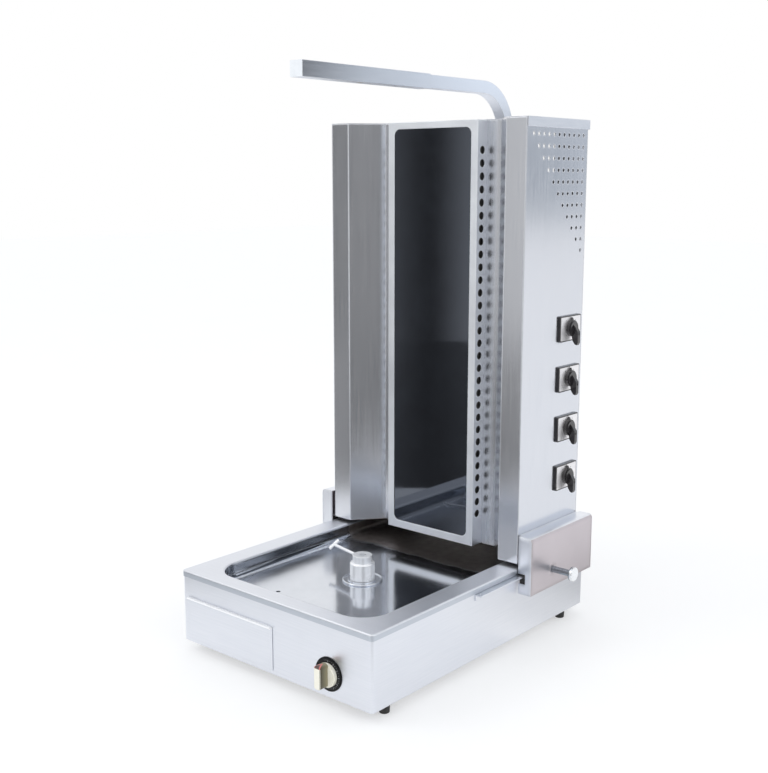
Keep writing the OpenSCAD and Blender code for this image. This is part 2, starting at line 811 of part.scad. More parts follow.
module top_cap() color([0.84, 0.85, 0.88]) {
  low = heater_top - cap_lip;
  side = housing_hw + cap_slack;
  front = heater_y + 2;
  back = heater_back + cap_over;
  translate([0, 0, heater_top]) linear_extrude(sheet) {
    polygon(shell_plan(0));
    for (s = [-1, 1]) translate([s > 0 ? housing_hw - cut : -side - sheet, front])
      square([cut + cap_slack + sheet, back - front]);
    translate([-housing_hw, heater_back - cut]) square([2 * housing_hw, cap_over + cut]);
  }
  for (s = [0, 1]) mirror([s, 0, 0]) block([side, front, low], [side + sheet, back, heater_top + weld]);
  block([-side - weld, back - sheet, low], [side + weld, back, heater_top + weld]);
}

module heater_floor() color([0.30, 0.30, 0.31]) difference() {
  translate([0, 0, heater_z]) linear_extrude(sheet) polygon(shell_plan(sheet));
  for (n = [0 : floor_slots - 1])
    translate([floor_slot_pitch * (n - (floor_slots - 1) / 2), floor_slot_y, heater_z])
      block([-floor_slot_w / 2, -floor_slot_l / 2, -cut], [floor_slot_w / 2, floor_slot_l / 2, 2 * sheet]);
}

// back wall with upper vents, lower louvre slots and a folded edge
module rear_cover() color([0.74, 0.75, 0.78]) {
  hw = housing_hw - sheet;
  z0 = heater_z + sheet;
  front = heater_back - cover_flange;
  difference() {
    block([-hw, heater_back - sheet, z0], [hw, heater_back, heater_top]);
    for (n = [0 : vent_cols - 1])
      translate([vent_pitch * (n - (vent_cols - 1) / 2), heater_back, vent_top - vent_h])
        block([-vent_w / 2, -2 * sheet, 0], [vent_w / 2, sheet, vent_h]);
    for (n = [0 : louvre_cols - 1], k = [0 : louvre_rows - 1])
      translate([louvre_pitch[0] * (n - (louvre_cols - 1) / 2), heater_back, louvre_z + louvre_pitch[1] * k])
        block([-louvre_w / 2, -2 * sheet, 0], [louvre_w / 2, sheet, louvre_h]);
    for (p = cover_screw_spots())
      translate([p[0], heater_back, p[1]]) rod_y(cover_screw_r, -2 * sheet, sheet);
  }
  for (s = [0, 1]) mirror([s, 0, 0])
    block([hw - sheet, front, z0], [hw, heater_back - sheet + weld, heater_top]);
  block([-hw, front, heater_top - sheet], [hw, heater_back - sheet + weld, heater_top]);
}

function cover_screw_spots() = [
  for (s = [-1, 1], k = [0 : cover_screws_high - 1])
    [s * (housing_hw - cover_screw_edge[0]),
     heater_z + cover_screw_edge[1] + k * (housing_h - 2 * cover_screw_edge[1]) / (cover_screws_high - 1)]
];

module cover_screws() color([0.70, 0.71, 0.73])
  for (p = cover_screw_spots()) translate([p[0], heater_back, p[1]]) {
    rod_y(cover_screw_r, -5 * sheet, sheet);
    rod_y(cover_head[0], 0, cover_head[1]);
  }

module glass_frame() color([0.88, 0.89, 0.92]) difference() {
  low = heater_z + frame_low;
  block([-frame_hw, frame_y, low], [frame_hw, panel_y, heater_top]);
  block([sheet - frame_hw, frame_y + sheet, low + sheet],
        [frame_hw - sheet, panel_y + cut, heater_top - sheet]);
  translate([0, frame_y - cut, (glass_z0 + glass_z1) / 2]) rotate([-90, 0, 0])
    linear_extrude(sheet + 2 * cut) round_rect(2 * glass_hw, glass_z1 - glass_z0, glass_r);
  for (n = [0 : frame_holes - 1]) translate([0, air_hole_y, air_hole_z + air_pitch * n])
    rod_x(air_hole_r, -frame_hw - cut, frame_hw + cut);
}

module glass_panel() color([0.06, 0.06, 0.07])
  block([-glass_hw - glass_lap[0], frame_y + sheet, glass_z0 - glass_lap[1]],
        [glass_hw + glass_lap[0], frame_y + sheet + glass_t, glass_z1 + glass_lap[1]]);

// insulated tray of heating zone n, counted from the bottom
module element_tray(n) color([0.86, 0.85, 0.80])
  translate([0, 0, glass_z0 + (n - 0.5) * zone_h]) {
    half = zone_h / 2 - zone_gap;
    difference() {
      block([-tray_hw, tray_front, -half], [tray_hw, tray_back, half]);
      block([-tray_hw + tray_wall, tray_front - cut, -half + tray_wall],
            [tray_hw - tray_wall, tray_back - tray_wall, half - tray_wall]);
    }
    for (s = [0, 1]) mirror([s, 0, 0])
      block([tray_hw - cut, panel_y + sheet, -half], [cut_hw + ear_reach, panel_y + 2 * sheet, half]);
  }

// serpentine heating element of zone n
module heating_coil(n) color([0.50, 0.44, 0.40])
  translate([0, coil_y, glass_z0 + (n - 0.5) * zone_h]) {
    step = 2 * coil_bend;
    run = coil_run - coil_bend;
    for (i = [-1.5 : 1 : 1.5]) translate([i * step, 0, -run]) cylinder(r = coil_r, h = 2 * run);
    for (b = [[-1, 1], [0, -1], [1, 1]])
      translate([b[0] * step, 0, b[1] * run]) rotate([90, 0, 0])
        rotate([0, 0, b[1] > 0 ? 0 : 180]) rotate_extrude(angle = 180)
          translate([coil_bend, 0]) circle(coil_r);
  }

// fixed part of switch n: collar outside and cam stack inside
module switch_body(n) color([0.07, 0.07, 0.08])
  translate([housing_hw, switch_y, switch_height(n)]) difference() {
    union() {
      rotate([90, 0, 90]) linear_extrude(bezel_t) round_rect(bezel_w, bezel_h, bezel_corner);
      rod_x(switch_neck, -sheet - cut, cut);
      block([-sheet - switch_deep, -switch_half, -switch_half], [-sheet, switch_half, switch_half]);
    }
    rod_x(handle_bore + run_fit, -handle_shaft - 2, bezel_t + cut);
  }

module switch_plate(n) color([0.78, 0.79, 0.80])
  translate([housing_hw + bezel_t, switch_y, switch_height(n)])
    rotate([90, 0, 90]) linear_extrude(plate_t) difference() {
      round_rect(bezel_w - 2 * plate_edge, bezel_h - 2 * plate_edge, bezel_corner - cut);
      circle(handle_bore + 4);
    }

module switch_handle(n) color([0.07, 0.07, 0.08])
  translate([housing_hw + bezel_t, switch_y, switch_height(n)]) {
    rod_x(handle_bore, -handle_shaft, handle_lift + cut);
    rotate([0, 90, 0]) rotate_extrude() {
      translate([0, handle_lift]) square([handle_r, handle_base]);
      translate([0, handle_lift]) square([handle_r - handle_step, handle_base + handle_step]);
    }
    translate([handle_lift, 0, 0]) rotate([90, 0, 90]) linear_extrude(pointer_t)
      polygon([[-pointer_w, handle_r - 2], [pointer_w, handle_r - 2], [0, handle_r + pointer_nose]]);
    difference() {
      translate([0, grip_t / 2, 0]) rotate([90, 0, 0]) linear_extrude(grip_t) polygon(grip_side);
      translate([0, 0, grip_hole_z]) rod_x(grip_hole_r, grip_edge - grip_hole_deep, grip_edge + cut);
    }
  }

// carrying bracket on one side of the heater, open at the back and underneath
module side_bracket(s) color([0.84, 0.82, 0.84])
  mirror([s < 0 ? 1 : 0, 0, 0]) difference() {
    union() {
      difference() {
        bracket_form(0);
        bracket_form(bracket_t);
      }
      block([housing_hw, bracket_y0 + web_inset, web_low], [housing_hw + bracket_t, heater_back, bracket_z1]);
      block([housing_hw, bracket_y0 + web_inset, bracket_z1 - bracket_t],
            [bracket_x0 + bracket_r, heater_back, bracket_z1]);
      translate([0, clamp_y, clamp_z]) rod_x(clamp_boss, bracket_x1 - bracket_r, bracket_x1 - weld);
    }
    block([bracket_x0 - cut, bracket_y0 - cut, rail_z - rail_leg - bracket_clear],
          [rail_x1 + bracket_clear, bracket_y0 + bracket_t + cut, rail_z + bracket_clear]);
    translate([0, clamp_y, clamp_z]) rod_x(clamp_r + gap, bracket_x0, bracket_x1 + cut);
  }

// solid outline of the bracket; t > 0 gives the space inside its sheet
module bracket_form(t) {
  r = bracket_r - t;
  x0 = bracket_x0 - (t > 0 ? cut : 0);
  x1 = bracket_x1 - t;
  z0 = bracket_z0 - (t > 0 ? cut : 0);
  z1 = bracket_z1 - t;
  end = bracket_y1 + (t > 0 ? cut : 0);
  translate([0, end, 0]) rotate([90, 0, 0]) linear_extrude(end - bracket_y0 - t) {
    translate([x0, z0]) square([x1 - x0, z1 - r - z0]);
    translate([x0, z0]) square([x1 - r - x0, z1 - z0]);
    translate([x1 - r, z1 - r]) circle(r);
  }
}

module side_bracket_left() side_bracket(-1);
module side_bracket_right() side_bracket(1);

// two nylon blocks that hook round one rail, the front one with a lug that closes the gap
module glides(s) color([0.05, 0.05, 0.05])
  mirror([s < 0 ? 1 : 0, 0, 0]) {
    x1 = bracket_x1 - bracket_t;
    rows = [bracket_y0 + bracket_t, bracket_y1 - glide_l - web_inset];
    for (v = rows) difference() {
      block([rail_x0 + glide_inset, v, rail_z - glide_low], [x1, v + glide_l, rail_z + glide_high]);
      block([rail_x0 - cut, v - cut, rail_z - rail_t - gap],
            [rail_x1 + gap, v + glide_l + cut, rail_z + gap]);
    }
    block([lug_x, rows[0], rail_z + gap], [bracket_x0 + glide_inset, rows[0] + glide_l, rail_z + glide_lug]);
  }

module glides_left() glides(-1);
module glides_right() glides(1);

// clamping knob that presses on the rail's edge
module clamp_knob(s) color([0.84, 0.85, 0.87])
  mirror([s < 0 ? 1 : 0, 0, 0]) translate([0, clamp_y, clamp_z]) {
    head = clamp_reach - clamp_head_t;
    rod_x(clamp_r, rail_x1 + gap, head + cut);
    rod_x(clamp_head_r, head + cut, clamp_reach - cut);
    rod_x(clamp_head_r - cut, head, clamp_reach);
  }

module clamp_knob_left() clamp_knob(-1);
module clamp_knob_right() clamp_knob(1);

base_shell();
top_pan();
bottom_plate();
bottom_screws();
rubber_feet();
foot_screws();
grease_drawer();
drawer_guides();
spindle_collar();
bearing_housing();
spindle_hub();
clamp_screw();
motor_shaft();
gear_motor();
motor_bracket();
control_dial();
control_unit();
control_knob();
rail_left();
rail_right();
arm_post();
arm_sleeve();
arm_end_plate();
spit_bush();
post_mount();
post_bolts();
cable_gland();
heater_shell();
top_cap();
heater_floor();
rear_cover();
cover_screws();
glass_frame();
glass_panel();
element_tray(1);  // element_tray_1
element_tray(2);  // element_tray_2
element_tray(3);  // element_tray_3
element_tray(4);  // element_tray_4
heating_coil(1);  // heating_coil_1
heating_coil(2);  // heating_coil_2
heating_coil(3);  // heating_coil_3
heating_coil(4);  // heating_coil_4
switch_body(1);  // switch_body_1
switch_body(2);  // switch_body_2
switch_body(3);  // switch_body_3
switch_body(4);  // switch_body_4
switch_plate(1);  // switch_plate_1
switch_plate(2);  // switch_plate_2
switch_plate(3);  // switch_plate_3
switch_plate(4);  // switch_plate_4
switch_handle(1);  // switch_handle_1
switch_handle(2);  // switch_handle_2
switch_handle(3);  // switch_handle_3
switch_handle(4);  // switch_handle_4
side_bracket_left();
side_bracket_right();
glides_left();
glides_right();
clamp_knob_left();
clamp_knob_right();
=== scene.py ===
"""Looks for the electric doner kebab grill: camera, light, surfaces and small trim."""
import math

import bmesh
import bpy
from mathutils import Matrix, Vector


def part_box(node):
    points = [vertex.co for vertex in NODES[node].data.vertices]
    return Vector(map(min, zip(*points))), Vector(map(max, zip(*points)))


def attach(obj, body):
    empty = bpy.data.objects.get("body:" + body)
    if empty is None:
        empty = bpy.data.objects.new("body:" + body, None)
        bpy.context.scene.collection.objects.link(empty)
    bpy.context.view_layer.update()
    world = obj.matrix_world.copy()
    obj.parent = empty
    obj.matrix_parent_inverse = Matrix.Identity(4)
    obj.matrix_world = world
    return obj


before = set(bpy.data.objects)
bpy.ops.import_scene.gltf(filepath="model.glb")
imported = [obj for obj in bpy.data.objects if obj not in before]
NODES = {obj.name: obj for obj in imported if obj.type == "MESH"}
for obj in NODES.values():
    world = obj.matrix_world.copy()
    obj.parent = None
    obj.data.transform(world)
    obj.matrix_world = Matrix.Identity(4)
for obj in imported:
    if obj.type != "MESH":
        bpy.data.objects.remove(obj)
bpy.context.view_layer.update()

# camera, from the photograph's straight edges
CAMERA_PLACE = (1.4044, -1.6646, 0.9111)
CAMERA_TURN = math.radians(40.71)
CAMERA_DOWN = math.radians(10.54)
FOCAL_PX = 1120.1
LONG_SIDE_PX = 773
SENSOR_MM = 36.0

# top pan: width of its rim at the sides and ends, height of the rounded edge, depth where the floor starts
RIM_WIDTH = 0.048
RIM_DEPTH = 0.038
RIM_EDGE = 0.0026
PAN_DEEP = 0.029

# painted shade under the heater, mottled like burned grease: it starts this far before the heater's front,
# is full this far behind it, and its border wanders by this much
SHADE_BURN_BEFORE = 0.012
SHADE_BURN_BEHIND = 0.004
SHADE_BURN_WANDER = 0.006

# the pan's floor is worn dull at the left, up to this distance from its middle
WORN_GAP = 0.04

# depth to which a sheet's outer skin keeps its own look, length of a clamping knob's head
SKIN = 0.0004
CLAMP_HEAD = 0.005

# height of the drawer's lip that carries a painted highlight
LIP_HEIGHT = 0.004

# beside the glass frame, where the housing's duller strip starts to fade and where it ends
DULL_START = 0.010
DULL_END = 0.045

# front knob: depth of its round skirt; its pointer's half width, length, drop at the end and outline
KNOB_SKIRT = 0.0080
POINTER_HALF = 0.0075
POINTER_LENGTH = 0.016
POINTER_DROP = 0.0045
POINTER_LINE = 0.0026

# where the top of a dial is, in degrees from its right
TOP = 90.0

# ticks round the front dial: their distance from its border, length and width of long and short ones
DIAL_BORDER = 0.0042
LONG_TICK = (0.0042, 0.0009)
SHORT_TICK = (0.0022, 0.0005)

# degrees from tick to tick, ticks before and after the one at the top, every which one is long
TICK_TURN = 10.0
TICKS_BEFORE_TOP = 2
TICKS_AFTER_TOP = 26
LONG_EVERY = 3

# heating zones, each with its own switch, element and tray
ZONES = 4

# position marks on a switch plate: radius of their ring, length and width, degrees from the top
SWITCH_RING = 0.0222
SWITCH_MARK = (0.0026, 0.0010)
SWITCH_ANGLES = (-45.0, 0.0, 45.0)

# thickness of a mark, share of it that is bevelled
MARK_THICK = 0.0002
MARK_BEVEL = 0.2

# how deep the middle of a tick lies in the dial, how far the middle of a position mark stands off its plate
TICK_SUNK = 0.00004
SWITCH_MARK_OFF = 0.00005

# noise that is the same along X, Y and Z
EVEN = (1.0, 1.0, 1.0)

# depth of brushing, how far it takes a sheet's roughness up and down
BRUSH_DEPTH = 0.0001
STREAK = 0.04

# radius to which a sheet's edges look broken, samples for that
SHEET_EDGE = 0.0010
BEVEL_SAMPLES = 6

# share of a face's normal along an axis from which the face counts as lying across that axis
ACROSS = 0.5
BRACKET_ACROSS = 0.6

# the Mix node's sockets for colours and for values: first input, second input, output
MIX_COLOURS = (6, 7, 2)
MIX_VALUES = (2, 3, 0)

# the reflected screens run over the floor between these distances, then stand up to this height
SCREEN_START = 0.95
SCREEN_END = 4.0
SCREEN_HEIGHT = 3.0

# height of a card that lies on the floor, half the floor's side
FLOOR_CARD_LIFT = 0.004
FLOOR_HALF = 14.0

# tints of the cards
PLAIN = (1.00, 1.00, 1.00)
COOL = (0.92, 0.99, 1.08)


def corner(node):
    """Lowest and highest corner of a node as vectors."""
    low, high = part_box(node)
    return Vector(low), Vector(high)


def add_camera():
    data = bpy.data.cameras.new("camera")
    data.sensor_width = SENSOR_MM
    data.sensor_fit = "AUTO"
    data.lens = FOCAL_PX * SENSOR_MM / LONG_SIDE_PX
    data.clip_start = 0.05
    data.clip_end = 60.0
    cam = bpy.data.objects.new("camera", data)
    bpy.context.scene.collection.objects.link(cam)
    cam.location = CAMERA_PLACE
    cam.rotation_euler = (math.pi / 2 - CAMERA_DOWN, 0.0, CAMERA_TURN)
    bpy.context.scene.camera = cam


# shader helpers

class Shader:
    """Short way to build one node material."""

    def __init__(self, name, **values):
        """values are constants on the shader's own sockets, with _ for each space."""
        self.mat = bpy.data.materials.new(name)
        self.mat.use_nodes = True
        self.tree = self.mat.node_tree
        self.bsdf = self.tree.nodes["Principled BSDF"]
        for key, value in values.items():
            self.bsdf.inputs[key.replace("_", " ")].default_value = value

    def node(self, kind, **values):
        item = self.tree.nodes.new(kind)
        for key, value in values.items():
            setattr(item, key, value)
        return item

    def link(self, source, target):
        self.tree.links.new(source, target)

    def place(self, stretch):
        """Object coordinates, multiplied by stretch."""
        coords = self.node("ShaderNodeTexCoord")
        mapping = self.node("ShaderNodeMapping")
        mapping.inputs["Scale"].default_value = stretch
        self.link(coords.outputs["Object"], mapping.inputs["Vector"])
        return mapping.outputs["Vector"]

    def along(self, axis):
        """Object coordinate along one axis."""
        coords = self.node("ShaderNodeTexCoord")
        parts = self.node("ShaderNodeSeparateXYZ")
        self.link(coords.outputs["Object"], parts.inputs["Vector"])
        return parts.outputs[axis]

    def facing(self, axis):
        """How squarely a face lies across an axis, from 0 to 1, whichever way it looks."""
        geo = self.node("ShaderNodeNewGeometry")
        parts = self.node("ShaderNodeSeparateXYZ")
        self.link(geo.outputs["True Normal"], parts.inputs["Vector"])
        return self.math("ABSOLUTE", parts.outputs[axis])

    def noise(self, scale, detail=3.0, rough=0.55, stretch=EVEN):
        """Noise value. A larger scale, or stretch along an axis, makes it finer."""
        tex = self.node("ShaderNodeTexNoise")
        tex.inputs["Scale"].default_value = scale
        tex.inputs["Detail"].default_value = detail
        tex.inputs["Roughness"].default_value = rough
        self.link(self.place(stretch), tex.inputs["Vector"])
        return tex.outputs["Fac"]

    def brushing(self, stretch):
        """Fine lines that run along the axis or axes with the small stretch."""
        return self.noise(1.0, detail=4.0, rough=0.6, stretch=stretch)

    def smears(self):
        """Soft smears, about a hand's width across."""
        return self.noise(14.0, detail=4.0, rough=0.6)

    def spread(self, value, low, high, from_low=0.3, from_high=0.7):
        """Maps from_low..from_high onto low..high. The defaults suit a noise value."""
        node = self.node("ShaderNodeMapRange")
        node.inputs["From Min"].default_value = from_low
        node.inputs["From Max"].default_value = from_high
        node.inputs["To Min"].default_value = low
        node.inputs["To Max"].default_value = high
        self.link(value, node.inputs["Value"])
        return node.outputs["Result"]

    def blend(self, factor, first, second):
        """Mixes two colours by a value."""
        node = self.node("ShaderNodeMix", data_type="RGBA")
        first_in, second_in, mixed = MIX_COLOURS
        self.link(factor, node.inputs["Factor"])
        for number, colour in ((first_in, first), (second_in, second)):
            if isinstance(colour, tuple):
                node.inputs[number].default_value = (*colour, 1.0)
            else:
                self.link(colour, node.inputs[number])
        return node.outputs[mixed]

    def choose(self, factor, first, second):
        """Mixes two values by a value."""
        node = self.node("ShaderNodeMix", data_type="FLOAT")
        first_in, second_in, mixed = MIX_VALUES
        self.link(factor, node.inputs["Factor"])
        self.link(first, node.inputs[first_in])
        self.link(second, node.inputs[second_in])
        return node.outputs[mixed]

    def math(self, how, first, second=0.0):
        """One math node; second may be a number or a socket."""
        node = self.node("ShaderNodeMath", operation=how)
        self.link(first, node.inputs[0])
        if isinstance(second, float):
            node.inputs[1].default_value = second
        else:
            self.link(second, node.inputs[1])
        return node.outputs["Value"]

    def near(self, value, middle, reach):
        """1 where value lies within reach of middle."""
        away = self.math("ABSOLUTE", self.math("SUBTRACT", value, middle))
        return self.math("LESS_THAN", away, reach)

    def bump(self, height, strength, distance, edge=0.0):
        """Surface relief. edge is the radius to which sharp edges look broken."""
        node = self.node("ShaderNodeBump")
        node.inputs["Strength"].default_value = strength
        node.inputs["Distance"].default_value = distance
        self.link(height, node.inputs["Height"])
        if edge:
            rounded = self.node("ShaderNodeBevel", samples=BEVEL_SAMPLES)
            rounded.inputs["Radius"].default_value = edge
            self.link(rounded.outputs["Normal"], node.inputs["Normal"])
        self.link(node.outputs["Normal"], self.bsdf.inputs["Normal"])

    def colour(self, source):
        self.link(source, self.bsdf.inputs["Base Color"])

    def rough(self, source):
        self.link(source, self.bsdf.inputs["Roughness"])

    def clouded_colour(self, fine, light, dark):
        """Colour that follows the brushing, with slow clouds over it."""
        cloud = self.noise(5.0)
        tone = self.math("MULTIPLY", self.spread(fine, 0.0, 1.0), self.spread(cloud, 0.75, 1.0))
        self.colour(self.blend(tone, dark, light))

    def handled_rough(self, base):
        """Roughness that varies a little with handling."""
        touch = self.noise(23.0, detail=4.0, rough=0.65)
        self.rough(self.math("MULTIPLY", base, self.spread(touch, 0.94, 1.08)))


# metals

def sheet_metal(name, light, dark, rough, grain):
    """Brushed or rolled metal. grain is the stretch of its lines along X, Y and Z."""
    s = Shader(name, Metallic=1.0)
    fine = s.brushing(grain)
    s.clouded_colour(fine, light, dark)
    s.handled_rough(s.spread(fine, rough - STREAK, rough + STREAK))
    s.bump(fine, 0.04, BRUSH_DEPTH, edge=SHEET_EDGE)
    return s.mat


def housing_steel(light, dark):
    """Upright brushed housing: smooth wings, duller beside the glass frame."""
    s = Shader("steel_housing", Metallic=1.0)
    frame_side = corner("glass_frame")[1].x
    fine = s.brushing((420.0, 420.0, 7.0))
    s.clouded_colour(fine, light, dark)
    away = s.math("ABSOLUTE", s.along("X"))
    dull = s.spread(away, 0.09, 0.0, frame_side + DULL_START, frame_side + DULL_END)
    s.handled_rough(s.math("ADD", s.spread(fine, 0.165, 0.215), dull))
    s.bump(fine, 0.04, BRUSH_DEPTH, edge=0.0032)
    return s.mat


def tube_steel(light, dark):
    """Drawn tube of the arm: smooth at its sides, satin on its inner and outer faces."""
    s = Shader("steel_drawn_tube", Metallic=1.0)
    fine = s.brushing((420.0, 14.0, 420.0))
    s.clouded_colour(fine, light, dark)
    satin = s.math("LESS_THAN", s.facing("X"), ACROSS)
    s.rough(s.math("ADD", s.spread(fine, 0.13, 0.17), s.math("MULTIPLY", satin, 0.35)))
    s.bump(fine, 0.04, BRUSH_DEPTH, edge=SHEET_EDGE)
    return s.mat


def drawer_steel(light, dark):
    """Brushed drawer front with a painted highlight along the lip at its top."""
    s = Shader("steel_drawer")
    top = corner("grease_drawer")[1].z
    fine = s.brushing((12.0, 12.0, 420.0))
    # painted highlight: the lip is near white and only a quarter metallic
    lip = s.math("GREATER_THAN", s.along("Z"), top - LIP_HEIGHT)
    s.colour(s.blend(lip, s.blend(s.spread(fine, 0.0, 1.0), dark, light), (0.97, 0.98, 1.00)))
    s.link(s.spread(lip, 1.0, 0.25, 0.0, 1.0), s.bsdf.inputs["Metallic"])
    s.rough(s.spread(fine, 0.30, 0.37))
    s.bump(fine, 0.04, BRUSH_DEPTH, edge=SHEET_EDGE)
    return s.mat


def bracket_steel(face, fold):
    """Sheet whose outer side carries a painted pinkish reflection, darker than its folds and ends, which
    stay blue-grey.
    """
    s = Shader("steel_bracket", Metallic=1.0)
    fine = s.brushing((14.0, 14.0, 420.0))
    cloud = s.noise(6.0)
    # painted reflection: faces across X get the darker pinkish face colour, the others the blue-grey fold
    # colour
    outer = s.math("GREATER_THAN", s.facing("X"), BRACKET_ACROSS)
    dim_face = tuple(0.9 * v for v in face)
    painted_reflection = s.blend(s.spread(cloud, 0.0, 1.0), dim_face, face)
    s.colour(s.blend(outer, fold, painted_reflection))
    s.rough(s.spread(fine, 0.30, 0.38))
    s.bump(fine, 0.05, BRUSH_DEPTH, edge=0.0090)
    return s.mat


def frame_steel(light, dark):
    """Bright frame round the glass, near black inside."""
    s = Shader("steel_frame", Metallic=0.88)
    low, high = corner("glass_frame")
    within = s.math("LESS_THAN", s.math("ABSOLUTE", s.along("X")), high.x - SKIN)
    behind = s.math("GREATER_THAN", s.along("Y"), low.y + SKIN)
    inside = s.math("MULTIPLY", within, behind)
    smear = s.smears()
    face = s.blend(s.spread(smear, 0.0, 1.0), dark, light)
    # near black behind the frame's front skin
    s.colour(s.blend(inside, face, (0.012, 0.012, 0.014)))
    s.rough(s.spread(smear, 0.36, 0.44))
    lines = s.noise(1.0, detail=4.0, stretch=(420.0, 420.0, 9.0))
    s.bump(lines, 0.03, BRUSH_DEPTH, edge=0.0020)
    return s.mat


def clamp_steel():
    """Clamping knob: bright turned head; its shaft is painted dark blue-grey as painted shade, with streaks
    of painted reflection.
    """
    s = Shader("steel_clamp_knob", Metallic=1.0)
    reach = corner("clamp_knob_right")[1].x
    head = s.math("GREATER_THAN", s.math("ABSOLUTE", s.along("X")), reach - CLAMP_HEAD)
    turned = s.brushing((700.0, 40.0, 40.0))
    # painted shade on the shaft, with streaks of painted reflection along the turning lines
    shaft = s.blend(s.spread(turned, 0.0, 1.0), (0.22, 0.26, 0.29), (0.42, 0.46, 0.50))
    s.colour(s.blend(head, shaft, (0.90, 0.92, 0.94)))
    s.rough(s.spread(turned, 0.14, 0.22))
    s.bump(turned, 0.06, BRUSH_DEPTH, edge=0.0008)
    return s.mat


def polished_metal(name, light, dark, rough, wave=0.05, metal=1.0):
    """Bright rolled or turned metal with faint scratches and smears.

    wave is how strong its slow unevenness is, and metal is how metallic it is, from 0 to 1.
    """
    s = Shader(name, Metallic=metal)
    scratch = s.noise(1.0, detail=5.0, rough=0.75, stretch=(40.0, 900.0, 900.0))
    smear = s.smears()
    s.colour(s.blend(s.spread(smear, 0.2, 1.0), dark, light))
    s.rough(s.math("MULTIPLY", s.spread(smear, rough * 0.75, rough * 1.35), s.spread(scratch, 0.9, 1.2)))
    s.bump(s.noise(9.0, detail=1.0), wave, 0.002, edge=0.0008)
    return s.mat


def pan_zones(s, smear):
    """Where the pan is bowl, floor of the bowl, skirt, under the heater with painted shade and burned
    grease, and worn dull.
    """
    low, high = corner("top_pan")
    middle = (low + high) / 2
    half = high - middle
    x = s.along("X")
    y = s.along("Y")
    z = s.along("Z")
    across = s.near(x, middle.x, half.x - RIM_WIDTH)
    inside = s.math("MULTIPLY", across, s.near(y, middle.y, half.y - RIM_DEPTH))
    below = s.math("LESS_THAN", z, high.z - RIM_EDGE)
    bowl = s.math("MULTIPLY", inside, below)
    skirt = s.math("SUBTRACT", below, bowl)
    flat = s.math("LESS_THAN", z, high.z - PAN_DEEP)
    heater = corner("heater_shell")[0].y
    border = s.math("ADD", y, s.spread(smear, -SHADE_BURN_WANDER, SHADE_BURN_WANDER))
    # painted shade under the heater, mottled like burned grease, fading in at the heater's front
    shade_and_burn = s.spread(border, 0.0, 1.0, heater - SHADE_BURN_BEFORE, heater + SHADE_BURN_BEHIND)
    fading = s.spread(x, 1.0, 0.0, low.x + RIM_WIDTH, middle.x - WORN_GAP)
    worn = s.math("MULTIPLY", flat, fading)
    return bowl, flat, skirt, shade_and_burn, worn


def pan_steel(light, dark):
    """Lid with a satin rim, a skirt darkened by painted shade, and a mirror-polished bowl whose walls are
    darkened by painted shade and whose floor has painted shade, mottled like burned grease, below the
    heater.
    """
    s = Shader("steel_pan", Metallic=1.0)
    smear = s.smears()
    bowl, flat, skirt, shade_and_burn, worn = pan_zones(s, smear)
    brushed = s.brushing((14.0, 420.0, 420.0))
    sheet = s.blend(s.spread(brushed, 0.0, 1.0), dark, light)
    polished = s.blend(s.spread(smear, 0.0, 1.0), (0.65, 0.68, 0.735), (0.72, 0.745, 0.80))
    spots = s.noise(2.0, detail=5.0, stretch=(30.0, 30.0, 4.0))
    # colour of the painted shade under the heater, with dark spots like burned grease
    shade_and_burn_colour = s.blend(spots, (0.20, 0.17, 0.16), (0.44, 0.41, 0.40))
    # painted shade: above its floor, the bowl's walls get a flat darker grey than the polished floor
    bottom = s.blend(shade_and_burn, s.blend(flat, (0.46, 0.49, 0.54), polished), shade_and_burn_colour)
    # painted shade: the lid's skirt gets a darker blue-grey than the brushed rim
    s.colour(s.blend(skirt, s.blend(bowl, sheet, bottom), (0.58, 0.62, 0.68)))
    satin = s.spread(brushed, 0.40, 0.48)
    dulled = s.math("ADD", s.math("MULTIPLY", worn, 0.17), s.math("MULTIPLY", shade_and_burn, 0.28))
    mirror = s.math("ADD", s.spread(smear, 0.10, 0.13), dulled)
    s.rough(s.choose(bowl, satin, mirror))
    s.bump(s.noise(9.0, detail=1.0), 0.02, 0.002, edge=SHEET_EDGE)
    return s.mat


# other materials

def plastic(name, light, dark, rough, coat=0.0, shine=0.5):
    """Moulded plastic with fine spark texture. coat is clear gloss over it, shine its own."""
    s = Shader(name, Coat_Weight=coat, Specular_IOR_Level=shine)
    cell = s.noise(900.0, detail=2.0)
    wear = s.noise(60.0, detail=5.0, rough=0.7)
    s.colour(s.blend(s.spread(wear, 0.0, 1.0), dark, light))
    s.rough(s.spread(wear, rough - 0.08, rough + 0.08))
    s.bump(cell, 0.15, 0.0002)
    return s.mat


def black_glass():
    """Ceramic glass, nearly black, with a cool shine and a faint rolled ripple."""
    s = Shader("ceramic_glass", IOR=2.0, Specular_IOR_Level=0.65, Specular_Tint=(0.76, 0.84, 1.0, 1.0))
    ripple = s.noise(7.0, detail=1.0, stretch=(1.0, 1.0, 0.4))
    film = s.noise(18.0, detail=5.0, rough=0.7)
    s.colour(s.blend(s.spread(film, 0.0, 1.0), (0.003, 0.003, 0.004), (0.007, 0.008, 0.010)))
    s.rough(s.spread(film, 0.02, 0.06))
    s.bump(ripple, 0.02, 0.001)
    return s.mat


def rubber():
    """Dusty black rubber of the feet."""
    s = Shader("foot_rubber")
    dust = s.noise(120.0, detail=5.0, rough=0.7)
    s.colour(s.blend(s.spread(dust, 0.0, 1.0), (0.012, 0.012, 0.012), (0.035, 0.034, 0.032)))
    s.rough(s.spread(dust, 0.55, 0.8))
    s.bump(s.noise(700.0), 0.3, 0.0003)
    return s.mat


